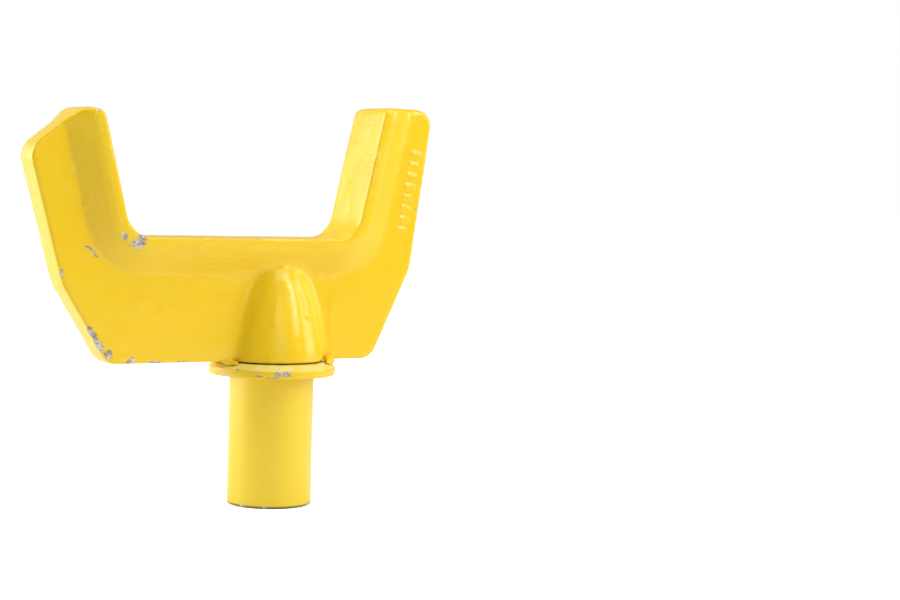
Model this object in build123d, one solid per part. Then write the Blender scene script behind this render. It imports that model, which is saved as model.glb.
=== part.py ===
from build123d import *

import math
import os

# Lift cradle adapter: a forged U-shaped fork on a round stub, with a collar welded between them.
# Millimetres, +Z up. The origin is on the stub axis, on the underside of the collar, which is
# the face that seats on the lift arm. X runs along the mouth of the U, from the slant arm (-X)
# to the flat arm (+X). The fork is the same on its front (-Y) and rear (+Y) faces.

# Stub and its spigot
STUB_RADIUS = 19.05
STUB_LENGTH = 59.0
STUB_CHAMFER = 1.0
SPIGOT_RADIUS = 12.7
SPIGOT_LENGTH = 37.0
SPIGOT_CHAMFER = 1.5

# Collar
COLLAR_RADIUS = 28.6
COLLAR_THICKNESS = 6.0
COLLAR_RIM_HEIGHT = 3.7
COLLAR_FLAT_RADIUS = 24.2
COLLAR_EDGE = 0.8

# Fork, as a section through the stub axis
FORK_BOTTOM = 6.4
SEAT_HEIGHT = 61.5
SEAT_LEFT = -74.8
SEAT_RIGHT = 33.8
SLANT_ARM_LEAN = 13.8
FLAT_ARM_LEAN = 12.9
SLANT_ARM_TOP = 116.0
FLAT_ARM_TOP = 121.6
SLANT_BASE = (-81.8, FORK_BOTTOM)
SLANT_BEND = (-103.0, 41.0)
SLANT_SHOULDER = (-118.4, 98.0)
SLANT_TOP_ANGLE = 38.7
FLAT_BASE = (47.2, FORK_BOTTOM)
FLAT_BEND = (66.6, 47.8)
FLAT_CORNER = (77.0, FLAT_ARM_TOP)

# Corner radii of the outline
BASE_SLANT_ROUND = 7.0
BASE_FLAT_ROUND = 8.5
BEND_ROUND = 18.0
SHOULDER_ROUND = 9.5
PEAK_ROUND = 7.0
INNER_TIP_ROUND = 5.0
SEAT_ROUND = 12.0
FLAT_TIP_ROUND = 4.0
FLAT_CORNER_ROUND = 7.5

# Thickness of the web and of the rim along the mouth
WEB_HALF = 7.4
RIM_HALF = 15.0
LAND_WIDTH = 5.0
FACET_WIDTH = 11.4
RIM_REACH = 140.0

# Boss over the spigot: radius against height above the fork's bottom
BOSS_BASE_RADIUS = 23.3
BOSS_WAIST = (20.2, 19.8)
BOSS_SHOULDER = (14.2, 37.8)
BOSS_HEIGHT = 47.3

# Weld beads on the ledge between boss and collar rim
BEAD_RADIUS = 2.6
BEAD_PATH_RADIUS = 26.0
BEAD_RISE = 0.6
BEADS = {
    "weld_front_slant": (188.5, 14.0),
    "weld_front_flat": (321.0, 30.0),
    "weld_rear_flat": (8.5, 32.0),
    "weld_rear_slant": (143.0, 28.0),
}

# Solids stand on their lower face
BOTTOM = (Align.CENTER, Align.CENTER, Align.MIN)


def slant_inner(height):
    """X of the slant arm's inner face at a height."""
    return SEAT_LEFT - (height - SEAT_HEIGHT) * math.tan(math.radians(SLANT_ARM_LEAN))


def flat_inner(height):
    """X of the flat arm's inner face at a height."""
    return SEAT_RIGHT + (height - SEAT_HEIGHT) * math.tan(math.radians(FLAT_ARM_LEAN))


def fork_outline():
    """The U outline in the XZ plane, with its corners rounded."""
    rise = SLANT_ARM_TOP - SLANT_SHOULDER[1]
    peak = SLANT_SHOULDER[0] + rise / math.tan(math.radians(SLANT_TOP_ANGLE))
    corners = [
        (SLANT_BASE, BASE_SLANT_ROUND),
        (SLANT_BEND, BEND_ROUND),
        (SLANT_SHOULDER, SHOULDER_ROUND),
        ((peak, SLANT_ARM_TOP), PEAK_ROUND),
        ((slant_inner(SLANT_ARM_TOP), SLANT_ARM_TOP), INNER_TIP_ROUND),
        ((SEAT_LEFT, SEAT_HEIGHT), SEAT_ROUND),
        ((SEAT_RIGHT, SEAT_HEIGHT), SEAT_ROUND),
        ((flat_inner(FLAT_ARM_TOP), FLAT_ARM_TOP), FLAT_TIP_ROUND),
        (FLAT_CORNER, FLAT_CORNER_ROUND),
        (FLAT_BEND, BEND_ROUND),
        (FLAT_BASE, BASE_FLAT_ROUND),
    ]
    points = [point for point, _ in corners]
    radii = [radius for _, radius in corners]
    edge = Plane.XZ * FilletPolyline(*points, radius=radii, close=True)
    return make_face(edge)


def mouth_outline(offset, depth):
    """The mouth of the U grown outward by an offset, on the plane at -Y depth."""
    low = SEAT_HEIGHT - offset
    slant = offset / math.cos(math.radians(SLANT_ARM_LEAN))
    flat = offset / math.cos(math.radians(FLAT_ARM_LEAN))
    points = [
        (slant_inner(RIM_REACH) - slant, RIM_REACH),
        (slant_inner(low) - slant, low),
        (flat_inner(low) + flat, low),
        (flat_inner(RIM_REACH) + flat, RIM_REACH),
    ]
    corner = SEAT_ROUND + offset
    edge = FilletPolyline(*points, radius=[corner, corner]) + Line(points[-1], points[0])
    return make_face(Plane.XZ.offset(depth) * edge)


def rim():
    """The thick rim: a flat land along the mouth, then a slanted facet down to the web."""
    crease = LAND_WIDTH + FACET_WIDTH
    middle = extrude(mouth_outline(crease, 0), WEB_HALF, both=True)
    front = loft([mouth_outline(crease, WEB_HALF), mouth_outline(LAND_WIDTH, RIM_HALF)], ruled=True)
    rear = front.mirror(Plane.XZ)
    return (middle + front + rear) & extrude(fork_outline(), RIM_HALF, both=True)


def boss():
    """The bullet-shaped boss that holds the spigot, round about the stub axis."""
    base = (BOSS_BASE_RADIUS, FORK_BOTTOM)
    waist = (BOSS_WAIST[0], FORK_BOTTOM + BOSS_WAIST[1])
    shoulder = (BOSS_SHOULDER[0], FORK_BOTTOM + BOSS_SHOULDER[1])
    tip = (0, FORK_BOTTOM + BOSS_HEIGHT)
    side = Spline(base, waist, shoulder, tip, tangents=[(-0.1, 1), (-1, 0)])
    edge = side + Polyline(tip, (0, FORK_BOTTOM), base)
    return revolve(Plane.XZ * make_face(edge), Axis.Z)


def spigot_bore():
    """The blind bore for the spigot, with its drilled point."""
    depth = SPIGOT_LENGTH - FORK_BOTTOM
    bore = Pos(0, 0, FORK_BOTTOM) * Cylinder(SPIGOT_RADIUS, depth, align=BOTTOM)
    point = Pos(0, 0, SPIGOT_LENGTH) * Cone(SPIGOT_RADIUS, 0, SPIGOT_RADIUS / 2, align=BOTTOM)
    return bore + point


def fork():
    """The whole forging: web, rim and boss, bored from below."""
    web = extrude(fork_outline(), WEB_HALF, both=True)
    return web + rim() + boss() - spigot_bore()


def stub_pin():
    """The round bar that drops into the lift arm, turned down to a spigot at its top."""
    bar = Pos(0, 0, -STUB_LENGTH) * Cylinder(STUB_RADIUS, STUB_LENGTH, align=BOTTOM)
    bar = chamfer(bar.edges().group_by(Axis.Z)[0], STUB_CHAMFER)
    spigot = Cylinder(SPIGOT_RADIUS, SPIGOT_LENGTH, align=BOTTOM)
    spigot = chamfer(spigot.edges().group_by(Axis.Z)[-1], SPIGOT_CHAMFER)
    return bar + spigot


def collar_washer():
    """The round collar on the spigot: a low rim, and a slope up to the flat under the boss."""
    section = Polyline(
        (SPIGOT_RADIUS, 0),
        (COLLAR_RADIUS - COLLAR_EDGE, 0),
        (COLLAR_RADIUS, COLLAR_EDGE),
        (COLLAR_RADIUS, COLLAR_RIM_HEIGHT),
        (COLLAR_FLAT_RADIUS, COLLAR_THICKNESS),
        (SPIGOT_RADIUS, COLLAR_THICKNESS),
        close=True,
    )
    return revolve(Plane.XZ * make_face(section), Axis.Z)


def weld_bead(start, sweep_angle, fork_solid, collar_solid):
    """One bead laid on the collar against the fork: a bent bar with round ends."""
    height = COLLAR_THICKNESS + BEAD_RISE
    middle = Location((0, 0, height))
    path = middle * CenterArc((0, 0), BEAD_PATH_RADIUS, start, sweep_angle)
    section = Plane(path @ 0, z_dir=path % 0) * Circle(BEAD_RADIUS)
    bead = sweep(section, path)
    bead += Pos(path @ 0) * Sphere(BEAD_RADIUS)
    bead += Pos(path @ 1) * Sphere(BEAD_RADIUS)
    return bead - fork_solid - collar_solid


fork_solid = fork()
collar_solid = collar_washer()
parts = {
    "fork_cradle": fork_solid,
    "stub_pin": stub_pin(),
    "collar_washer": collar_solid,
}
for name, (start, sweep_angle) in BEADS.items():
    parts[name] = weld_bead(start, sweep_angle, fork_solid, collar_solid)

os.makedirs("parts", exist_ok=True)
for name, solid in parts.items():
    export_step(solid, f"parts/{name}.step")
    print(name, len(solid.solids()), round(solid.volume), solid.bounding_box())
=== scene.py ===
import math

import bmesh
import bpy
import numpy as np
from mathutils import Matrix, Vector, noise


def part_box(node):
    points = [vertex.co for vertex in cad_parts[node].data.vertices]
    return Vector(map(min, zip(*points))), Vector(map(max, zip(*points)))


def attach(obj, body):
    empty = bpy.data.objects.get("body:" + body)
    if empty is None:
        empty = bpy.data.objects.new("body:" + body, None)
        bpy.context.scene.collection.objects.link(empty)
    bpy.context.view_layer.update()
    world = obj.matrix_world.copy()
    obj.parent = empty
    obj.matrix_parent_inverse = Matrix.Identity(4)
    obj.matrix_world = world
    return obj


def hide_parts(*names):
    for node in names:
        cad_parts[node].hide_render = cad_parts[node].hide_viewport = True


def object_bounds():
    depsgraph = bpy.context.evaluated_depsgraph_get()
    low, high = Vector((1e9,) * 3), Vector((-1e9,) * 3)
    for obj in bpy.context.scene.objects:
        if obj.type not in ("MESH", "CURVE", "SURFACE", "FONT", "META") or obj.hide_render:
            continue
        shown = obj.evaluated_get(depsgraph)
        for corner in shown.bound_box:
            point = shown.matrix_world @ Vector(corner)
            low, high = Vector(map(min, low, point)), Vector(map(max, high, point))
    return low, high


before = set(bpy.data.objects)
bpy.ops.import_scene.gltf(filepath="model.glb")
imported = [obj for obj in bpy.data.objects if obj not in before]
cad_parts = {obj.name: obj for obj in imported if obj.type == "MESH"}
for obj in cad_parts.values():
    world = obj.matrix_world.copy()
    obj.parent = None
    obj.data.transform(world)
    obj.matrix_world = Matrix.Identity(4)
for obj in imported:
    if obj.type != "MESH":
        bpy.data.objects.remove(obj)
cad_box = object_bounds()

# The camera in the row frame: its place in metres, and its angles in degrees
CAMERA_PLACE = Vector((-0.4056, -0.8058, 0.0909))
CAMERA_HEADING = 31.775
CAMERA_DIP = 3.521
CAMERA_ROLL = 1.734

# Its sensor's width and its focal length in millimetres, and how near and far it sees in metres
SENSOR_WIDTH = 36.0
FOCAL_LENGTH = 79.84
NEAREST = 0.05
FARTHEST = 50.0

# One millimetre, in Blender's metres
MM = 0.001

# The shape as the CAD model has it: millimetres in the row frame, and degrees
SEAT_HEIGHT = 61.5
SEAT_LEFT = -74.8
SEAT_RIGHT = 33.8
SLANT_ARM_LEAN = 13.8
FLAT_ARM_LEAN = 12.9
SEAT_ROUND = 12.0
LAND_WIDTH = 5.0
FACET_WIDTH = 11.4
BOSS_TOP = 53.7
COLLAR_RADIUS = 28.6
COLLAR_THICKNESS = 6.0
COLLAR_RIM_HEIGHT = 3.7
COLLAR_FLAT_RADIUS = 24.2
STUB_RADIUS = 19.05
STUB_BOTTOM = -59.0
SPIGOT_RADIUS = 12.7
SPIGOT_TOP = 37.0
SPIGOT_CHAMFER = 1.5

# Rounded edges of the turned pieces: under the stub, under the collar and on top of its rim
STUB_EDGE = 1.3
COLLAR_LOW_EDGE = 0.8
COLLAR_KNEE = 0.9

# The collar's bore is this much wider than the spigot, in radius
BORE_CLEARANCE = 0.02

# Weld beads on the collar: where each starts and how far it goes, in degrees about the stub axis
BEADS = {
    "weld_front_slant": (188.5, 14.0),
    "weld_front_flat": (321.0, 30.0),
    "weld_rear_flat": (8.5, 32.0),
    "weld_rear_slant": (143.0, 28.0),
}
BEAD_PATH_RADIUS = 26.0
BEAD_RADIUS = 2.5
BEAD_HEIGHT = 6.3

# A bead is a little less high than wide, and leans this far from its path towards the boss
BEAD_FLATNESS = 0.92
BEAD_LEAN = 0.25

# A bead's ends are this share of its full thickness, and thicken over this many millimetres.
# Their round caps close to this share.
BEAD_TAPER = 0.4
BEAD_TAPER_LENGTH = 5.0
BEAD_TIP = 0.02

# Puddles of weld follow each other at this distance; the grooves between take this share off
RIPPLE_PITCH = 1.9
RIPPLE_DEPTH = 0.09

# A bead wanders up and down by this much, in waves of this size in millimetres
BEAD_WANDER = (0.35, 4.0)

# Its thickness is this share of the full one, give or take, in waves of this size
BEAD_UNEVEN = (0.97, 0.10, 3.0)

# Mesh fineness: millimetres for the fork, steps round the turned pieces and the beads
FORK_VOXEL = 0.75
STUB_STEPS = 144
COLLAR_STEPS = 240
BEAD_STEPS_AROUND = 28
BEAD_STEPS_ALONG = 64

# How far each kind of edge on the fork is rounded, in millimetres
EDGE_ROUNDING = 0.7
LAND_ROUNDING = 3.4
CREASE_ROUNDING = 3.2
BOSS_FILLET = 4.2

# Half widths of the bands that take the last three roundings, in millimetres. The boss's foot,
# where it meets the web, is this far from the fork's middle plane.
LAND_BAND = 3.2
CREASE_BAND = 3.6
FOOT_BAND = 3.4
FOOT_SIDE = 8.6

# An edge counts as convex by how far it stands out of the shape rounded over this much
CONVEX_REACH = 2.4

# From how convex a point is to how convex the swell is held back, and what share of it stays
SHARP = (0.05, 0.25)
SWELL_ON_EDGES = 0.35

# Noise on the shape: octaves, how much finer each one is, and how fast they weaken
OCTAVES = 2
FINER = 2.1
WEAKER = 0.6

# Unevenness of the forging under its enamel: height and size of a wave in millimetres
SWELL = (0.16, 21.0)
FINE_SWELL = (0.045, 5.5)
BOSS_STROKES = (0.03, 3.2)
BOSS_DIMPLES = (0.09, 4.2)

# The strokes on the boss lie level, because their waves are stretched in X and Y. The dimples
# fade in between these two heights.
STROKE_SHAPE = (0.25, 0.25, 1.0)
DIMPLES_FROM = BOSS_TOP - 24
DIMPLES_FULL = BOSS_TOP - 6

# The enamel's edge at a chip: between which chip values it drops, and by how many millimetres
CHIP_EDGE = (0.45, 0.62)
CHIP_DEPTH = 0.16
COLLAR_CHIP_DEPTH = 0.14

# The fork's whole skin is sunk by this much, so that its waves rise less past the CAD shape
SKIN_SINK = 0.05

# Dents round the collar and the sag of its upper half: depth of the waves, and how far inward
# or down they are shifted as a whole, in millimetres
DENTS = (0.16, 0.14)
SAG = (0.16, 0.12)
SAG_FROM = 3

# The same noise goes this many waves per radius round the collar, and per millimetre up it
DENT_WAVES = 3.1
DENT_WAVES_UP = 0.35
SAG_FINER = 1.7

# The stub's side waves by this much about a radius that is this much too small
BAR_WAVE = 0.05

# Bare patches where the enamel is knocked off: middle, direction along, half length, half width
CHIPS = [
    ((-88.4, -7.4, 17.2), (0.49, 0, -0.87), 5.4, 2.2),
    ((-81.6, -7.4, 10.8), (0.6, 0, -0.8), 1.7, 1.5),
    ((-71.5, -7.4, 7.8), (1, 0, 0.3), 1.8, 1.2),
    ((-60.0, -7.4, 6.6), (1, 0, 0), 2.6, 0.9),
    ((-48.0, -7.4, 6.5), (1, 0, 0), 2.0, 0.8),
    ((-91.8, -15.0, 115.0), (0.8, 0, -0.5), 1.0, 0.9),
    ((-116.4, -7.4, 98.5), (0.4, 0, 0.9), 1.4, 0.6),
    ((-71.4, -15.0, 60.0), (0.3, 0.2, 0.9), 2.9, 2.2),
    ((-72.6, -15.0, 58.4), (1, 0, 0.1), 2.8, 1.7),
    ((-78.4, -14.2, 61.8), (0.3, 0, -0.9), 1.6, 1.1),
    ((-91.6, -7.6, 56.6), (0.9, 0, -0.35), 1.8, 0.6),
    ((-89.0, -7.6, 54.2), (0.6, 0, -0.8), 2.0, 0.75),
    ((-103.0, -7.4, 46.0), (0.2, 0, -1), 1.3, 0.7),
    ((53.6, -8.8, 58.0), (0.35, 0, -0.95), 1.9, 1.1),
    ((-15.4, -15.0, 61.3), (1, 0, 0), 1.1, 0.4),
    ((-4.8, -15.0, 61.3), (1, 0, 0), 0.8, 0.35),
    ((-80.5, 7.4, 28.0), (0.2, 0, -1), 2.0, 1.1),
    ((-83.5, 7.4, 23.5), (0.6, 0, -0.8), 1.2, 0.8),
    ((-91.8, 15.0, 115.0), (0.8, 0, -0.5), 1.1, 0.9),
    ((-77.0, 15.0, 62.5), (0.5, 0, -0.8), 1.3, 0.7),
    ((-96.5, 7.4, 30.5), (0.45, 0, -0.88), 2.4, 0.8),
    ((66.5, 7.4, 55.0), (0.1, 0, -1), 1.6, 0.6),
    ((-112.5, 6.0, 80.0), (-0.26, 0, 0.97), 1.8, 0.7),
    ((55.0, 6.8, 10.5), (0.8, 0, 0.6), 1.6, 0.8),
]

# Bare patches on the stub's lower edge: degrees about the axis, direction along, half length
STUB_CHIPS = [
    (205, (-0.4, 0.9, 0), 1.6),
    (238, (0.85, -0.5, 0), 0.8),
    (310, (0.7, 0.7, 0), 1.3),
    (80, (1, 0, 0), 2.0),
]
STUB_CHIP_RADIUS = 19.0
STUB_CHIP_HEIGHT = STUB_BOTTOM + 0.8
STUB_CHIP_HALF_WIDTH = 0.6

# Bare patches on the collar's rim: degrees about the axis, height, half length, half width
RIM_CHIPS = [
    (-106.6, 2.2, 3.0, 1.15),
    (-128.0, 1.4, 1.6, 0.6),
    (-117.0, 0.7, 2.6, 0.35),
    (-99.0, 3.8, 0.8, 0.6),
    (-148.0, 3.9, 0.9, 0.55),
    (98.0, 3.0, 1.1, 1.1),
    (40.0, 1.2, 1.8, 0.6),
    (200.0, 1.0, 1.5, 0.5),
]

# One more on the rim, which lies upright
UPRIGHT_RIM_CHIP = (-103.5, 3.6, 0.9, 0.7)

# Raised drops, and pits where the height is negative: middle, radius, height
DROPS = [
    ((-99.6, -7.4, 90.5), 1.1, 0.40),
    ((-101.0, -7.4, 82.8), 1.0, 0.34),
    ((-93.8, -7.4, 74.4), 1.1, 0.40),
    ((18.6, -7.4, 44.8), 1.5, 0.36),
    ((21.0, -7.4, 43.2), 1.0, -0.26),
    ((-39.5, -7.6, 42.3), 1.7, 0.22),
    ((-66.5, -7.4, 33.6), 1.9, 0.24),
    ((-58.0, -7.4, 28.0), 1.4, 0.12),
    ((26.5, -7.4, 31.0), 1.2, 0.25),
    ((60.5, -7.4, 60.0), 1.3, 0.22),
    ((60.2, -7.4, 53.0), 1.0, -0.20),
    ((-7.0, -14.5, 51.2), 1.4, 0.30),
    ((3.2, -16.4, 44.0), 1.3, 0.22),
    ((40.5, 7.4, 33.0), 1.6, 0.30),
    ((-35.0, 7.4, 25.0), 1.8, 0.26),
    ((-62.0, 7.4, 40.0), 1.5, 0.30),
    ((58.0, 7.4, 70.0), 1.3, 0.30),
]

# Plain raised tally bars up the flat arm: X and Z of the lowest and of the highest
TALLY_LOW = (61.4, 66.0)
TALLY_HIGH = (68.2, 101.0)
TALLY_BARS = 8

# One bar: half length, half width, height, and how far each end lies above or below its middle
TALLY_HALF_LENGTH = 2.1
TALLY_HALF_WIDTH = 0.75
TALLY_HEIGHT = 0.42
TALLY_TILT = 0.35

# Enamel that ran before it set, and stopped in a drop: top, bottom, half width, height
RUNS = [
    ((5.6, -15.8, 47.0), (8.0, -17.9, 27.0), 1.3, 0.30),
    ((6.9, -17.3, 38.0), (8.4, -18.5, 19.0), 0.9, 0.24),
    ((-6.0, -17.0, 42.0), (-8.6, -18.9, 24.0), 1.2, 0.18),
    ((25.5, -7.4, 34.0), (26.0, -7.4, 9.0), 1.2, 0.22),
    ((-30.0, 7.4, 44.0), (-30.0, 7.4, 20.0), 1.5, 0.26),
    ((-27.5, 7.4, 30.0), (-27.5, 7.4, 12.0), 1.2, 0.30),
    ((8.0, 16.8, 44.0), (10.0, 18.6, 18.0), 1.4, 0.30),
    ((-9.5, 16.0, 46.0), (-12.5, 17.2, 28.0), 1.3, 0.28),
]


# ---- Camera, lights, floor ----

def camera():
    """The camera stands off the front, on the slant arm's side, and is rolled a little."""
    heading = math.radians(CAMERA_HEADING)
    dip = math.radians(CAMERA_DIP)
    roll = math.radians(CAMERA_ROLL)
    level = Vector((math.sin(heading), math.cos(heading), 0))
    ahead = level * math.cos(dip) - Vector((0, 0, 1)) * math.sin(dip)
    right = Vector((math.cos(heading), -math.sin(heading), 0))
    above = right.cross(ahead)
    rolled_right = right * math.cos(roll) + above * math.sin(roll)
    rolled_above = above * math.cos(roll) - right * math.sin(roll)
    turn = Matrix((rolled_right, rolled_above, -ahead)).transposed()
    data = bpy.data.cameras.new("camera")
    data.sensor_width = SENSOR_WIDTH
    data.lens = FOCAL_LENGTH
    data.clip_start = NEAREST
    data.clip_end = FARTHEST
    obj = bpy.data.objects.new("camera", data)
    obj.matrix_world = Matrix.Translation(CAMERA_PLACE) @ turn.to_4x4()
    bpy.context.collection.objects.link(obj)
    bpy.context.scene.camera = obj


def softbox(name, azimuth, elevation, size, watts, colour):
    """An oblong area light that looks at the middle of the object."""
    middle = (cad_box[0] + cad_box[1]) / 2
    flat = math.cos(math.radians(elevation))
    turn = math.radians(azimuth)
    away = Vector((math.cos(turn) * flat, math.sin(turn) * flat, math.sin(math.radians(elevation))))
    data = bpy.data.lights.new(name, "AREA")
    data.shape = "RECTANGLE"
    data.size = size[0]
    data.size_y = size[1]
    data.energy = watts
    data.color = colour
    obj = bpy.data.objects.new(name, data)
    obj.location = middle + away * SOFTBOX_DISTANCE
    obj.rotation_euler = away.to_track_quat("Z", "Y").to_euler()
    obj.visible_camera = False
    bpy.context.collection.objects.link(obj)


# Softboxes: azimuth and elevation in degrees, width and height in metres, watts, colour
WHITE = (1.0, 1.0, 1.0)
WARM = (1.0, 0.965, 0.90)
SOFTBOXES = {
    "key": (305, 32, (0.16, 0.66), 3.5, WARM),
    "key_right": (338, 18, (0.50, 0.60), 3.1, WARM),
    "front_high": (275, 60, (0.60, 0.50), 2.0, WARM),
    "front_left": (262, 20, (0.50, 0.50), 1.0, WARM),
    "right": (350, 4, (0.30, 0.80), 0.4, WHITE),
    "left_rear": (152, 10, (0.60, 0.90), 9.3, WHITE),
    "left_back": (124, 12, (0.36, 0.90), 3.1, WHITE),
    "rear_high": (130, 58, (0.60, 0.50), 0.9, WHITE),
    "overhead": (0, 88, (0.70, 0.70), 4.4, WHITE),
    "rear_wall": (75, 10, (1.40, 0.90), 1.4, WHITE),
}
SOFTBOX_DISTANCE = 1.0

# Strength of the even light from all round, and of the backdrop that only the camera sees
ROOM_LIGHT = 0.09
BACKDROP = 1.0

# The floor glows for the camera: distance from the stub in metres, and glow there
GLOW_NEAR = (0.03, 0.70)
GLOW_FAR = (0.20, 1.0)
FLOOR_RADIUS = 12.0
FLOOR_STEPS = 96
FLOOR_COLOUR = (0.9, 0.9, 0.9, 1)
FLOOR_ROUGHNESS = 0.9


def studio():
    """High-key light from softboxes all round, before a backdrop that burns out to white."""
    for name, (azimuth, elevation, size, watts, colour) in SOFTBOXES.items():
        softbox(name, azimuth, elevation, size, watts, colour)
    world = bpy.data.worlds.new("studio")
    bpy.context.scene.world = world
    world.use_nodes = True
    tree = world.node_tree
    tree.nodes.clear()
    out = tree.nodes.new("ShaderNodeOutputWorld")
    mix = tree.nodes.new("ShaderNodeMixShader")
    path = tree.nodes.new("ShaderNodeLightPath")
    room = tree.nodes.new("ShaderNodeBackground")
    room.inputs["Color"].default_value = (1, 1, 1, 1)
    room.inputs["Strength"].default_value = ROOM_LIGHT
    backdrop = tree.nodes.new("ShaderNodeBackground")
    backdrop.inputs["Color"].default_value = (1, 1, 1, 1)
    backdrop.inputs["Strength"].default_value = BACKDROP
    tree.links.new(path.outputs["Is Camera Ray"], mix.inputs[0])
    tree.links.new(room.outputs[0], mix.inputs[1])
    tree.links.new(backdrop.outputs[0], mix.inputs[2])
    tree.links.new(mix.outputs[0], out.inputs["Surface"])
    bpy.context.scene.view_settings.view_transform = "Standard"


def floor():
    """A plain pale floor under the stub, bright enough to burn out as in a high-key studio."""
    mesh = bpy.data.meshes.new("floor")
    form = bmesh.new()
    bmesh.ops.create_circle(form, cap_ends=True, radius=FLOOR_RADIUS, segments=FLOOR_STEPS)
    form.to_mesh(mesh)
    form.free()
    obj = bpy.data.objects.new("floor", mesh)
    obj.location = (0, 0, cad_box[0].z)
    bpy.context.collection.objects.link(obj)
    mat = bpy.data.materials.new("floor_white")
    mat.use_nodes = True
    shader = mat.node_tree.nodes["Principled BSDF"]
    shader.inputs["Base Color"].default_value = FLOOR_COLOUR
    shader.inputs["Roughness"].default_value = FLOOR_ROUGHNESS
    shader.inputs["Emission Color"].default_value = (1, 1, 1, 1)
    tree = mat.node_tree
    path = tree.nodes.new("ShaderNodeLightPath")
    place = tree.nodes.new("ShaderNodeTexCoord")
    away = tree.nodes.new("ShaderNodeVectorMath")
    away.operation = "LENGTH"
    tree.links.new(place.outputs["Object"], away.inputs[0])
    spread_out = tree.nodes.new("ShaderNodeMapRange")
    spread_out.interpolation_type = "SMOOTHSTEP"
    spread_out.inputs["From Min"].default_value = GLOW_NEAR[0]
    spread_out.inputs["From Max"].default_value = GLOW_FAR[0]
    spread_out.inputs["To Min"].default_value = GLOW_NEAR[1]
    spread_out.inputs["To Max"].default_value = GLOW_FAR[1]
    tree.links.new(away.outputs["Value"], spread_out.inputs["Value"])
    glow = tree.nodes.new("ShaderNodeMath")
    glow.operation = "MULTIPLY"
    tree.links.new(path.outputs["Is Camera Ray"], glow.inputs[0])
    tree.links.new(spread_out.outputs["Result"], glow.inputs[1])
    tree.links.new(glow.outputs[0], shader.inputs["Emission Strength"])
    obj.data.materials.append(mat)


# ---- Mesh work ----

def mesh_object(name, points, faces):
    """A new smooth-shaded object from points in metres."""
    mesh = bpy.data.meshes.new(name)
    mesh.from_pydata([tuple(p) for p in points], [], faces)
    mesh.update()
    mesh.shade_smooth()
    obj = bpy.data.objects.new(name, mesh)
    bpy.context.collection.objects.link(obj)
    return obj


def voxel_copy(node, name, voxel):
    """A remeshed copy of a CAD node, as one even skin of quads."""
    obj = bpy.data.objects.new(name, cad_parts[node].data.copy())
    bpy.context.collection.objects.link(obj)
    remesh = obj.modifiers.new("remesh", "REMESH")
    remesh.mode = "VOXEL"
    remesh.voxel_size = voxel * MM
    graph = bpy.context.evaluated_depsgraph_get()
    even = bpy.data.meshes.new_from_object(obj.evaluated_get(graph))
    obj.modifiers.clear()
    obj.data = even
    obj.data.materials.clear()
    even.shade_smooth()
    return obj


def read_points(obj):
    """The object's points in millimetres."""
    flat = np.zeros(len(obj.data.vertices) * 3)
    obj.data.vertices.foreach_get("co", flat)
    return flat.reshape(-1, 3) / MM


def write_points(obj, points):
    """Puts points in millimetres back into the mesh."""
    obj.data.vertices.foreach_set("co", (points * MM).ravel())
    obj.data.update()


def read_normals(obj):
    """The normal at each of the object's points."""
    flat = np.zeros(len(obj.data.vertices) * 3)
    obj.data.vertices.foreach_get("normal", flat)
    return flat.reshape(-1, 3)


def read_edges(obj):
    """The two point numbers of each edge."""
    flat = np.zeros(len(obj.data.edges) * 2, dtype=np.int64)
    obj.data.edges.foreach_get("vertices", flat)
    return flat.reshape(-1, 2)


def relax(points, edges, turns, share=None):
    """Moves each point half way to the mean of its neighbours, some turns over. A share of 0 to 1
    per point holds it back."""
    count = len(points)
    ends = np.concatenate([edges[:, 0], edges[:, 1]])
    others = np.concatenate([edges[:, 1], edges[:, 0]])
    number = np.bincount(ends, minlength=count).reshape(-1, 1)
    pull = 0.5 if share is None else 0.5 * share.reshape(-1, 1)
    for _ in range(turns):
        total = [np.bincount(ends, points[others, k], minlength=count) for k in range(3)]
        points = points + pull * (np.stack(total, axis=1) / number - points)
    return points


def turns_for(rounding):
    """How many turns of relax round an edge over about this many millimetres."""
    return max(1, round(2.0 * (rounding / FORK_VOXEL) ** 2))


def smoothstep(low, high, value):
    """0 before low, 1 past high and a smooth change between, also where high is less than low."""
    t = np.clip((value - low) / (high - low), 0, 1)
    return t * t * (3 - 2 * t)


def ray_distance(x, z, corner, lean):
    """Distance from a ray that rises from a corner, leaning from upright towards +X."""
    way_x = math.sin(lean)
    way_z = math.cos(lean)
    along = np.maximum(0, (x - corner[0]) * way_x + (z - corner[1]) * way_z)
    return np.hypot(x - corner[0] - along * way_x, z - corner[1] - along * way_z)


def mouth_distance(x, z):
    """Millimetres from the wall of the mouth of the U into the metal, in the XZ plane."""
    slant = math.radians(SLANT_ARM_LEAN)
    flat = math.radians(FLAT_ARM_LEAN)
    high = SEAT_HEIGHT + SEAT_ROUND
    left = SEAT_LEFT + SEAT_ROUND / math.cos(slant) - SEAT_ROUND * math.tan(slant)
    right = SEAT_RIGHT - SEAT_ROUND / math.cos(flat) + SEAT_ROUND * math.tan(flat)
    arm_left = ray_distance(x, z, (left, high), -slant)
    arm_right = ray_distance(x, z, (right, high), flat)
    seat = np.hypot(x - np.clip(x, left, right), z - high)
    return np.minimum(np.minimum(arm_left, arm_right), seat) - SEAT_ROUND


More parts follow.
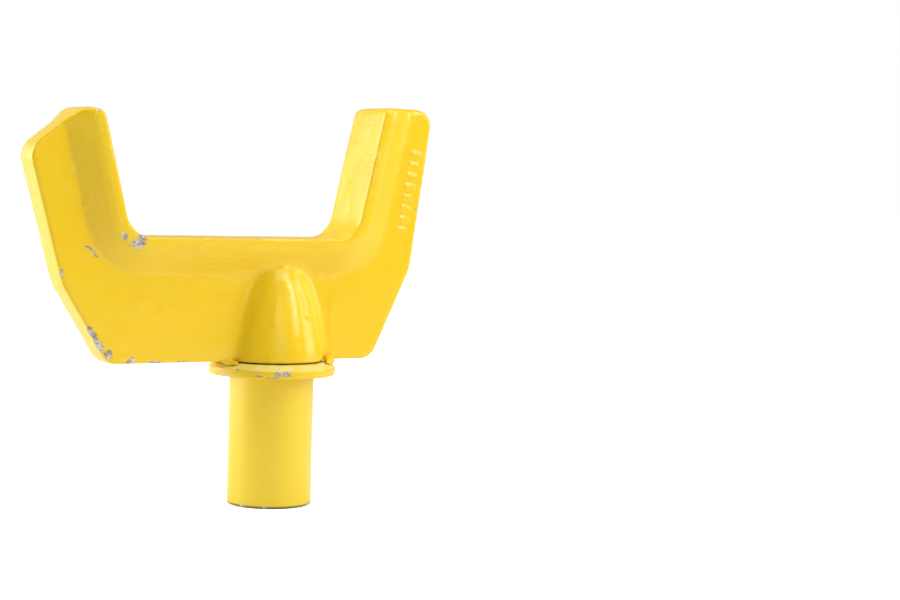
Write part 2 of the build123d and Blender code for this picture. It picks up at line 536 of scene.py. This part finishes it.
def bands(points):
    """Shares of each point in the land's edge, in the flat arm's crease and in the boss's foot.
    The bands lie on the front and rear, so each fades out towards the fork's middle plane."""
    d = mouth_distance(points[:, 0], points[:, 2])
    side = np.abs(points[:, 1])
    edge = np.exp(-((d - LAND_WIDTH) / LAND_BAND) ** 2) * smoothstep(8, 12, side)
    crease = np.exp(-((d - LAND_WIDTH - FACET_WIDTH) / CREASE_BAND) ** 2) * smoothstep(5, 7, side)
    crease = crease * smoothstep(SEAT_RIGHT, SEAT_RIGHT + SEAT_ROUND, points[:, 0])
    foot = np.exp(-((side - FOOT_SIDE) / FOOT_BAND) ** 2) * smoothstep(4, 6.5, side)
    foot = foot * smoothstep(32, 26, np.hypot(points[:, 0], points[:, 1]))
    foot = foot * smoothstep(7.5, 10.5, points[:, 2])
    foot = foot * smoothstep(BOSS_TOP + 5, BOSS_TOP + 1, points[:, 2])
    return edge, crease, foot


def on_boss(points):
    """1 on the front and rear of the boss, above its lower edge, and 0 elsewhere."""
    side = np.abs(points[:, 1])
    low_end = smoothstep(9, 14, points[:, 2])
    high_end = smoothstep(BOSS_TOP + 2, BOSS_TOP - 2, points[:, 2])
    near = smoothstep(25, 22, np.hypot(points[:, 0], points[:, 1]))
    return smoothstep(8.5, 11.0, side) * low_end * high_end * near


def waviness(points, wave, seed):
    """Smooth noise at each point; wave is its height and its size in millimetres."""
    height, size = wave
    shift = Vector((seed * 17.3, seed * 5.1, seed * 9.7))
    values = [noise.fractal(Vector(p) / size + shift, WEAKER, FINER, OCTAVES) for p in points]
    return height * np.array(values)


def segment_distance(points, start, end):
    """Distance of each point from a straight segment."""
    start = np.array(start)
    way = np.array(end) - start
    along = np.clip(((points - start) @ way) / max(way @ way, 1e-9), 0, 1)
    return np.linalg.norm(points - start - along[:, None] * way, axis=1)


def chip_values(points, chips):
    """0 on sound enamel, rising through a half at a chip's edge to 1 on its middle line."""
    value = np.zeros(len(points))
    for middle, way, half_length, half_width in chips:
        reach = Vector(way).normalized() * (half_length - half_width * 0.5)
        start = np.array(middle) - np.array(reach)
        end = np.array(middle) + np.array(reach)
        away = segment_distance(points, start, end) / half_width
        value = np.maximum(value, np.clip(1.0 - 0.5 * away, 0, 1))
    return value


def marks(points):
    """How far drops, runs and tally bars stand out of the enamel."""
    rise = np.zeros(len(points))
    for middle, radius, height in DROPS:
        away = np.linalg.norm(points - np.array(middle), axis=1) / radius
        rise += height * np.exp(-away ** 2)
    for top, bottom, half_width, height in RUNS:
        away = segment_distance(points, top, bottom) / half_width
        low = np.linalg.norm(points - np.array(bottom), axis=1) / (half_width * 1.3)
        rise += height * np.exp(-away ** 2) + height * 0.9 * np.exp(-low ** 2)
    return rise + tally(points)


def tally(points):
    """The raised bars, on the web's front and rear faces."""
    rise = np.zeros(len(points))
    flat = points * np.array([1, 0, 1])
    for k in range(TALLY_BARS):
        t = k / (TALLY_BARS - 1)
        x = TALLY_LOW[0] + (TALLY_HIGH[0] - TALLY_LOW[0]) * t
        z = TALLY_LOW[1] + (TALLY_HIGH[1] - TALLY_LOW[1]) * t
        start = (x - TALLY_HALF_LENGTH, 0, z + TALLY_TILT)
        end = (x + TALLY_HALF_LENGTH, 0, z - TALLY_TILT)
        away = segment_distance(flat, start, end) / TALLY_HALF_WIDTH
        rise = np.maximum(rise, TALLY_HEIGHT * smoothstep(1.5, 0.4, away))
    return rise * smoothstep(6.0, 7.0, np.abs(points[:, 1]))


def keep(obj, name, values):
    """Stores one number per point on the mesh for the material."""
    layer = obj.data.attributes.new(name, "FLOAT", "POINT")
    layer.data.foreach_set("value", np.asarray(values, dtype=np.float32))


def hold_inside(points, node):
    """Keeps points in the box of their CAD node."""
    low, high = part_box(node)
    return np.clip(points, np.array(low) / MM, np.array(high) / MM)


def fork():
    """The forging: rounded edges, soft crease, filleted boss, uneven skin under the enamel."""
    obj = voxel_copy("fork_cradle", "fork_body", FORK_VOXEL)
    edges = read_edges(obj)
    sharp = read_points(obj)
    edge, crease, foot = bands(sharp)
    points = relax(sharp, edges, turns_for(EDGE_ROUNDING))
    points = relax(points, edges, turns_for(LAND_ROUNDING), edge)
    points = relax(points, edges, turns_for(CREASE_ROUNDING), crease)
    points = relax(points, edges, turns_for(BOSS_FILLET), foot)
    write_points(obj, points)
    normals = read_normals(obj)
    soft = relax(points, edges, turns_for(CONVEX_REACH))
    convex = np.einsum("ij,ij->i", points - soft, normals)
    from_mouth = mouth_distance(points[:, 0], points[:, 2])
    chips = chip_values(points, CHIPS)
    swell = waviness(points, SWELL, 1) + waviness(points, FINE_SWELL, 2)
    strokes = waviness(points * np.array(STROKE_SHAPE), BOSS_STROKES, 3)
    dimples = waviness(points, BOSS_DIMPLES, 4)
    dimples = dimples * smoothstep(DIMPLES_FROM, DIMPLES_FULL, points[:, 2])
    swell += (strokes + dimples) * on_boss(points)
    flats = 1.0 - smoothstep(*SHARP, np.abs(convex))
    skin = swell * (SWELL_ON_EDGES + (1 - SWELL_ON_EDGES) * flats) + marks(points)
    skin -= CHIP_DEPTH * smoothstep(*CHIP_EDGE, chips)
    points = points + normals * (skin - SKIN_SINK)[:, None]
    write_points(obj, hold_inside(points, "fork_cradle"))
    keep(obj, "chip", chips)
    keep(obj, "convex", convex)
    keep(obj, "from_mouth", from_mouth)
    return obj


def lathe(name, profile, segments, wobble):
    """A closed turned piece. The profile is a list of (radius, z), and starts and ends at radius 0."""
    points = [(0, 0, profile[0][1])]
    for radius, z in profile[1:-1]:
        for k in range(segments):
            angle = 2 * math.pi * k / segments
            r = radius + wobble(radius, angle, z)
            points.append((r * math.cos(angle), r * math.sin(angle), z))
    points.append((0, 0, profile[-1][1]))
    rings = len(profile) - 2
    faces = []
    for k in range(segments):
        after = (k + 1) % segments
        faces.append((0, 1 + after, 1 + k))
        for ring in range(rings - 1):
            low = 1 + ring * segments
            high = low + segments
            faces.append((low + k, low + after, high + after, high + k))
        last = 1 + (rings - 1) * segments
        faces.append((last + k, last + after, len(points) - 1))
    return mesh_object(name, [Vector(p) * MM for p in points], faces)


def arc_profile(centre, radius, start, end, steps):
    """Points on an arc of a profile. Angles are in degrees, and 0 points away from the axis."""
    found = []
    for k in range(steps + 1):
        angle = math.radians(start + (end - start) * k / steps)
        found.append((centre[0] + radius * math.cos(angle), centre[1] + radius * math.sin(angle)))
    return found


def spread(start, end, steps):
    """Evenly spaced points between two profile points, without the two themselves."""
    found = []
    for k in range(1, steps):
        t = k / steps
        found.append((start[0] + (end[0] - start[0]) * t, start[1] + (end[1] - start[1]) * t))
    return found


def bar_wobble(radius, angle, z):
    """How far the stub's side stands off its true radius; its ends and its spigot are true."""
    if radius < STUB_RADIUS - 0.01:
        return 0.0
    place = Vector((math.cos(angle) * 1.6, math.sin(angle) * 1.6, z / 30))
    return -BAR_WAVE + BAR_WAVE * noise.noise(place)


def stub():
    """The bar with a broken lower edge and its hidden spigot."""
    low_edge = arc_profile((STUB_RADIUS - STUB_EDGE, STUB_BOTTOM + STUB_EDGE), STUB_EDGE, -90, 0, 6)
    shoulder = (STUB_RADIUS, 0.0)
    root = (SPIGOT_RADIUS, 0.0)
    chamfer_low = (SPIGOT_RADIUS, SPIGOT_TOP - SPIGOT_CHAMFER)
    chamfer_high = (SPIGOT_RADIUS - SPIGOT_CHAMFER, SPIGOT_TOP)
    profile = [(0, STUB_BOTTOM)] + spread((0, STUB_BOTTOM), low_edge[0], 10) + low_edge
    profile += spread(low_edge[-1], shoulder, 60) + [shoulder]
    profile += spread(shoulder, root, 4) + [root]
    profile += spread(root, chamfer_low, 12) + [chamfer_low, chamfer_high]
    profile += spread(chamfer_high, (0, SPIGOT_TOP), 6) + [(0, SPIGOT_TOP)]
    obj = lathe("stub_body", profile, STUB_STEPS, bar_wobble)
    points = read_points(obj)
    chips = []
    for angle, way, half_length in STUB_CHIPS:
        middle = round_place(STUB_CHIP_RADIUS, angle, STUB_CHIP_HEIGHT)
        chips.append((middle, way, half_length, STUB_CHIP_HALF_WIDTH))
    keep(obj, "chip", chip_values(points, chips))
    keep(obj, "convex", np.where(points[:, 2] < STUB_BOTTOM + 1.2, 0.12, 0.0))
    keep(obj, "height", points[:, 2])
    return obj


def collar_section():
    """The collar's closed section as (radius, z), from the underside outward and back to the bore."""
    outer = COLLAR_RADIUS
    low = COLLAR_LOW_EDGE
    knee = COLLAR_KNEE
    bore = SPIGOT_RADIUS + BORE_CLEARANCE
    slope = math.atan2(outer - COLLAR_FLAT_RADIUS, COLLAR_THICKNESS - COLLAR_RIM_HEIGHT)
    knee_centre = (outer - knee, COLLAR_RIM_HEIGHT - knee * 0.55)
    section = spread((bore, 0.0), (outer - low, 0.0), 8)
    section += arc_profile((outer - low, low), low, -90, 0, 6)
    section += spread((outer, low), (outer, COLLAR_RIM_HEIGHT - knee), 6)
    section += arc_profile(knee_centre, knee, 0, math.degrees(slope), 6)
    section += spread(section[-1], (COLLAR_FLAT_RADIUS, COLLAR_THICKNESS), 8)
    section += spread((COLLAR_FLAT_RADIUS + 0.5, COLLAR_THICKNESS), (bore, COLLAR_THICKNESS), 8)
    section += [(bore, COLLAR_THICKNESS), (bore, 0.0)]
    return section


def collar():
    """The collar, with a low rim, a sloped top and enamel lying unevenly on it."""
    section = collar_section()
    points = []
    for radius, z in section:
        rim = radius > SPIGOT_RADIUS + 2
        for k in range(COLLAR_STEPS):
            angle = 2 * math.pi * k / COLLAR_STEPS
            x = math.cos(angle)
            y = math.sin(angle)
            place = Vector((x * DENT_WAVES, y * DENT_WAVES, z * DENT_WAVES_UP))
            dent = DENTS[0] * noise.noise(place) - DENTS[1] if rim else 0.0
            sag = SAG[0] * noise.noise(place * SAG_FINER) - SAG[1] if rim and z > SAG_FROM else 0.0
            r = radius + dent
            points.append(Vector((r * x, r * y, z + sag)) * MM)
    faces = []
    rings = len(section)
    for ring in range(rings):
        low = ring * COLLAR_STEPS
        high = ((ring + 1) % rings) * COLLAR_STEPS
        for k in range(COLLAR_STEPS):
            after = (k + 1) % COLLAR_STEPS
            faces.append((low + k, low + after, high + after, high + k))
    obj = mesh_object("collar_body", points, faces)
    found = read_points(obj)
    chips = chip_values(found, rim_chips())
    normals = read_normals(obj)
    found = found - normals * (COLLAR_CHIP_DEPTH * smoothstep(*CHIP_EDGE, chips))[:, None]
    write_points(obj, hold_inside(found, "collar_washer"))
    low_edge = (np.hypot(found[:, 0], found[:, 1]) > COLLAR_RADIUS - 0.7) & (found[:, 2] < 0.8)
    keep(obj, "chip", chips)
    keep(obj, "convex", np.where(low_edge, 0.13, 0.0))
    keep(obj, "height", found[:, 2])
    return obj


def rim_chips():
    """The bare patches on the collar's rim, as chip_values takes them."""
    chips = []
    for angle, z, half_length, half_width in RIM_CHIPS:
        turn = math.radians(angle)
        along = (-math.sin(turn), math.cos(turn), 0)
        chips.append((round_place(COLLAR_RADIUS, angle, z), along, half_length, half_width))
    angle, z, half_length, half_width = UPRIGHT_RIM_CHIP
    chips.append((round_place(COLLAR_RADIUS, angle, z), (0, 0, 1), half_length, half_width))
    return chips


def round_place(radius, angle, z):
    """A point at a radius and an angle in degrees about the stub axis."""
    turn = math.radians(angle)
    return (radius * math.cos(turn), radius * math.sin(turn), z)


def weld(node, start, sweep_angle):
    """A bead laid in overlapping puddles: a rippled, uneven bar with thin round ends."""
    around = BEAD_STEPS_AROUND
    share, give, uneven_size = BEAD_UNEVEN
    wander, wander_size = BEAD_WANDER
    length = math.radians(sweep_angle) * BEAD_PATH_RADIUS
    points = []
    for ring in range(BEAD_STEPS_ALONG + 1):
        along = -BEAD_RADIUS + ring / BEAD_STEPS_ALONG * (length + 2 * BEAD_RADIUS)
        beyond = max(0.0, -along, along - length)
        cap = math.sqrt(max(BEAD_TIP ** 2, 1 - (beyond / BEAD_RADIUS) ** 2))
        from_end = max(0.0, min(along, length - along))
        taper = BEAD_TAPER + (1 - BEAD_TAPER) * min(1.0, from_end / BEAD_TAPER_LENGTH)
        ripple = 1 - RIPPLE_DEPTH * abs(math.sin(math.pi * along / RIPPLE_PITCH))
        uneven = share + give * noise.noise(Vector((along / uneven_size, start, 0.5)))
        radius = BEAD_RADIUS * cap * taper * ripple * min(1.0, uneven)
        lift = wander * noise.noise(Vector((along / wander_size, 3.0, start)))
        turn = math.radians(start) + along / BEAD_PATH_RADIUS
        for k in range(around):
            angle = 2 * math.pi * k / around
            out = BEAD_PATH_RADIUS - BEAD_LEAN + radius * math.cos(angle)
            up = BEAD_HEIGHT + lift + radius * BEAD_FLATNESS * math.sin(angle)
            points.append((out * math.cos(turn), out * math.sin(turn), up))
    faces = []
    for ring in range(BEAD_STEPS_ALONG):
        for k in range(around):
            after = (k + 1) % around
            low = ring * around
            high = low + around
            faces.append((low + k, high + k, high + after, low + after))
    faces.append(tuple(range(around)))
    last = BEAD_STEPS_ALONG * around
    faces.append(tuple(last + around - 1 - k for k in range(around)))
    obj = mesh_object(node + "_bead", [Vector(p) * MM for p in points], faces)
    keep(obj, "chip", np.zeros(len(points)))
    keep(obj, "convex", np.zeros(len(points)))
    return obj


# ---- Materials ----

class Nodes:
    """Short calls for building one material's nodes."""

    def __init__(self, name):
        self.material = bpy.data.materials.new(name)
        self.material.use_nodes = True
        self.tree = self.material.node_tree
        self.shader = self.tree.nodes["Principled BSDF"]
        coordinates = self.tree.nodes.new("ShaderNodeTexCoord")
        self.place = coordinates.outputs["Object"]

    def put(self, value, socket):
        """Links another node's output to a socket, or sets a plain value there."""
        if isinstance(value, bpy.types.NodeSocket):
            self.tree.links.new(value, socket)
        else:
            socket.default_value = value

    def math(self, operation, a, b):
        node = self.tree.nodes.new("ShaderNodeMath")
        node.operation = operation
        self.put(a, node.inputs[0])
        self.put(b, node.inputs[1])
        return node.outputs[0]

    def noise(self, scale, detail=3.0, rough=0.5, vector=None):
        """Noise with so many waves per metre, or per unit of the vector given."""
        node = self.tree.nodes.new("ShaderNodeTexNoise")
        self.put(vector or self.place, node.inputs["Vector"])
        node.inputs["Scale"].default_value = scale
        node.inputs["Detail"].default_value = detail
        node.inputs["Roughness"].default_value = rough
        return node.outputs["Fac"]

    def attribute(self, name):
        """The numbers that keep() stored on the mesh under a name."""
        node = self.tree.nodes.new("ShaderNodeAttribute")
        node.attribute_name = name
        return node.outputs["Fac"]

    def ramp(self, value, low, high, to_low=0.0, to_high=1.0):
        """A smooth change from to_low at low to to_high at high."""
        node = self.tree.nodes.new("ShaderNodeMapRange")
        node.interpolation_type = "SMOOTHSTEP"
        self.put(value, node.inputs["Value"])
        node.inputs["From Min"].default_value = low
        node.inputs["From Max"].default_value = high
        node.inputs["To Min"].default_value = to_low
        node.inputs["To Max"].default_value = to_high
        return node.outputs["Result"]

    def mix(self, share, a, b):
        """Colour a, or b where share is 1. The node's colour sockets are 6, 7 and output 2."""
        node = self.tree.nodes.new("ShaderNodeMix")
        node.data_type = "RGBA"
        self.put(share, node.inputs["Factor"])
        self.put(a, node.inputs[6])
        self.put(b, node.inputs[7])
        return node.outputs[2]

    def scaled(self, factors):
        """The place on the object, stretched by a factor for each of X, Y and Z."""
        node = self.tree.nodes.new("ShaderNodeVectorMath")
        node.operation = "MULTIPLY"
        self.put(self.place, node.inputs[0])
        node.inputs[1].default_value = factors
        return node.outputs[0]

    def joined(self, x, y, z):
        node = self.tree.nodes.new("ShaderNodeCombineXYZ")
        for value, socket in zip((x, y, z), node.inputs):
            self.put(value, socket)
        return node.outputs[0]

    def split(self):
        """The place on the object, as its X, Y and Z."""
        node = self.tree.nodes.new("ShaderNodeSeparateXYZ")
        self.put(self.place, node.inputs[0])
        return node.outputs

    def bump(self, height, depth, strength, normal=None):
        """Relief of a depth in millimetres, laid over the relief of another bump."""
        node = self.tree.nodes.new("ShaderNodeBump")
        node.inputs["Strength"].default_value = strength
        node.inputs["Distance"].default_value = depth * MM
        self.put(height, node.inputs["Height"])
        if normal:
            self.put(normal, node.inputs["Normal"])
        return node.outputs["Normal"]


# Colours of the enamel, of the dust on it, and of painted shade and sheen on it
YELLOW = (0.885, 0.612, 0.015, 1)
WARM_YELLOW = (0.905, 0.60, 0.014, 1)
GREEN_YELLOW = (0.85, 0.615, 0.022, 1)
THIN_ENAMEL = (0.875, 0.565, 0.014, 1)
BAR_YELLOW = (0.86, 0.66, 0.035, 1)
# The next colour is dust with a painted sheen, for the collar's top
DUST_AND_SHEEN = (0.80, 0.74, 0.26, 1)
# The next colour is painted contact shade, for the stub's shaded lower edge
PAINTED_CONTACT_SHADE = (0.22, 0.17, 0.04, 1)

# Colours of what shows where the enamel is gone
STEEL = (0.52, 0.50, 0.48, 1)
OXIDE = (0.22, 0.17, 0.13, 1)
PRIMER = (0.70, 0.68, 0.64, 1)

# How fine each pattern is, in waves per metre
THIN_PATCHES = 7
CLOUDS = 38
BLOTCHES = 120
# The next pattern sets the patches of dust with painted sheen on the collar's top
DUST_AND_SHEEN_PATCHES = 210
GLOSS_PATCHES = 260
CHIP_RAGGED = 1500
CHIP_COARSE = 420
RUBBING = 170
OXIDE_SPOTS = 900
PRIMER_SPOTS = 500
ORANGE_PEEL = 150
FINE_PEEL = 760
PITS = 900
PIT_PATCHES = 45

# Lines along the rim: waves per metre along them, and per millimetre across them
RIM_LINES_ALONG = 22.0
RIM_LINES_ACROSS = 0.62

# Drawing lines along the bar and turning marks round it: waves per metre in X, Y and Z
BAR_LINES = (260.0, 260.0, 9.0)
BAR_RINGS = (6.0, 6.0, 420.0)

# How shiny the enamel is at its glossiest and dullest, and how bare metal differs from it
ENAMEL_ROUGHNESS = (0.17, 0.27)
BARE_ROUGHER = 0.24
BARE_METALLIC = 0.45
ENAMEL_IOR = 1.5


def enamel_colour(n, grain):
    """Close tones of yellow in clouds; a painted contact shade on the stub's lower edge, dust with a
    painted sheen on the collar's top.
    """
    cloudy = n.noise(CLOUDS, 3)
    blotch = n.noise(BLOTCHES, 4, 0.6)
    tint = n.mix(n.ramp(cloudy, 0.36, 0.66), YELLOW, WARM_YELLOW)
    tint = n.mix(n.ramp(blotch, 0.56, 0.74, 0.0, 0.55), tint, GREEN_YELLOW)
    tint = n.mix(n.ramp(n.noise(THIN_PATCHES, 2), 0.50, 0.72, 0.0, 0.5), tint, THIN_ENAMEL)
    if grain == "bar":
        tint = n.mix(0.7, tint, BAR_YELLOW)
        # This darkening of the stub's lowest 1.7 mm is painted contact shade on its shaded lower edge
        contact_shade_share = n.ramp(n.attribute("height"), STUB_BOTTOM + 1.7, STUB_BOTTOM + 0.7)
        tint = n.mix(contact_shade_share, tint, PAINTED_CONTACT_SHADE)
    if grain == "ledge":
        # The collar's upward-facing top turns paler in patches: dust, with a painted sheen for the
        # light the ledge catches
        top = n.ramp(n.attribute("height"), COLLAR_RIM_HEIGHT - 0.6, COLLAR_RIM_HEIGHT + 0.3)
        dust_and_sheen_share = n.ramp(n.noise(DUST_AND_SHEEN_PATCHES, 4, 0.6), 0.30, 0.62, 0.35, 0.85)
        tint = n.mix(n.math("MULTIPLY", top, dust_and_sheen_share), tint, DUST_AND_SHEEN)
    return tint


def metal_colour(n):
    """Steel with spots of oxide and of primer."""
    metal = n.mix(n.ramp(n.noise(OXIDE_SPOTS, 4, 0.7), 0.42, 0.62), STEEL, OXIDE)
    return n.mix(n.ramp(n.noise(PRIMER_SPOTS, 2), 0.5, 0.62), metal, PRIMER)


def bare_share(n, rub_from):
    """1 where the enamel is gone: in chips with ragged edges, and on edges rubbed past a value."""
    ragged = n.math("MULTIPLY", n.noise(CHIP_RAGGED, 4, 0.65), 0.8)
    coarse = n.math("MULTIPLY", n.noise(CHIP_COARSE, 3, 0.6), 1.3)
    near = n.attribute("chip")
    chip = n.math("ADD", near, n.math("ADD", ragged, coarse))
    chip = n.math("MULTIPLY", n.ramp(chip, 1.55, 1.63), n.ramp(near, 0.04, 0.14))
    edge = n.ramp(n.attribute("convex"), 0.06, 0.22)
    rubbed = n.ramp(n.math("MULTIPLY", edge, n.noise(RUBBING, 4, 0.7)), rub_from, rub_from + 0.02)
    return n.math("MAXIMUM", chip, rubbed)


def forging_relief(n, skin):
    """Lines that run along the rim, and patches of pits on its land."""
    from_mouth = n.attribute("from_mouth")
    place = n.split()
    x = n.math("MULTIPLY", place["X"], RIM_LINES_ALONG)
    z = n.math("MULTIPLY", place["Z"], RIM_LINES_ALONG)
    stretched = n.joined(x, z, n.math("MULTIPLY", from_mouth, RIM_LINES_ACROSS))
    lines = n.noise(1.0, 4, 0.62, stretched)
    on_rim = n.ramp(from_mouth, 17.5, 13.0, 0.25, 1.0)
    skin = n.bump(n.math("MULTIPLY", lines, on_rim), 0.30, 0.8, skin)
    patches = n.ramp(n.noise(PIT_PATCHES, 2), 0.42, 0.58)
    on_land = n.math("MULTIPLY", n.ramp(from_mouth, 7.0, 4.0), patches)
    pits = n.ramp(n.noise(PITS, 3, 0.6), 0.45, 0.7)
    return n.bump(n.math("MULTIPLY", pits, on_land), 0.16, 0.8, skin)


def bar_relief(n, skin):
    """Faint drawing lines along the bar, and fainter turning marks round it."""
    skin = n.bump(n.noise(1.0, 3, 0.5, n.scaled(BAR_LINES)), 0.05, 0.5, skin)
    return n.bump(n.noise(1.0, 3, 0.5, n.scaled(BAR_RINGS)), 0.03, 0.4, skin)


def enamel(name, grain, peel, rub_from):
    """Glossy yellow over steel. Grain is rim, bar, ledge or plain, and sets its lines, its dust, and
    where it takes painted shade and sheen.
    """
    n = Nodes(name)
    bare = bare_share(n, rub_from)
    n.put(n.mix(bare, enamel_colour(n, grain), metal_colour(n)), n.shader.inputs["Base Color"])
    gloss = n.ramp(n.noise(GLOSS_PATCHES, 3), 0.3, 0.7, *ENAMEL_ROUGHNESS)
    rougher = n.math("MULTIPLY", bare, BARE_ROUGHER)
    n.put(n.math("ADD", gloss, rougher), n.shader.inputs["Roughness"])
    n.put(n.math("MULTIPLY", bare, BARE_METALLIC), n.shader.inputs["Metallic"])
    n.shader.inputs["IOR"].default_value = ENAMEL_IOR

    skin = n.bump(n.noise(ORANGE_PEEL, 2), 0.12, 0.5)
    skin = n.bump(n.noise(FINE_PEEL, 2, 0.4), 0.02, peel, skin)
    if grain == "rim":
        skin = forging_relief(n, skin)
    if grain == "bar":
        skin = bar_relief(n, skin)
    skin = n.bump(n.math("MULTIPLY", bare, -1.0), 0.12, 0.9, skin)
    n.put(skin, n.shader.inputs["Normal"])
    return n.material


def finish_piece(obj, node, material):
    """Gives a piece its material and its body, and hides the CAD node that it stands for."""
    obj.data.materials.clear()
    obj.data.materials.append(material)
    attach(obj, "root")
    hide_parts(node)


camera()
studio()
floor()

forging_enamel = enamel("forging_enamel", "rim", peel=0.55, rub_from=0.68)
bar_enamel = enamel("bar_enamel", "bar", peel=0.45, rub_from=0.66)
collar_enamel = enamel("collar_enamel", "ledge", peel=0.6, rub_from=0.62)
weld_enamel = enamel("weld_enamel", "plain", peel=0.8, rub_from=0.9)
finish_piece(fork(), "fork_cradle", forging_enamel)
finish_piece(stub(), "stub_pin", bar_enamel)
finish_piece(collar(), "collar_washer", collar_enamel)
for node, (start, sweep_angle) in BEADS.items():
    finish_piece(weld(node, start, sweep_angle), node, weld_enamel)
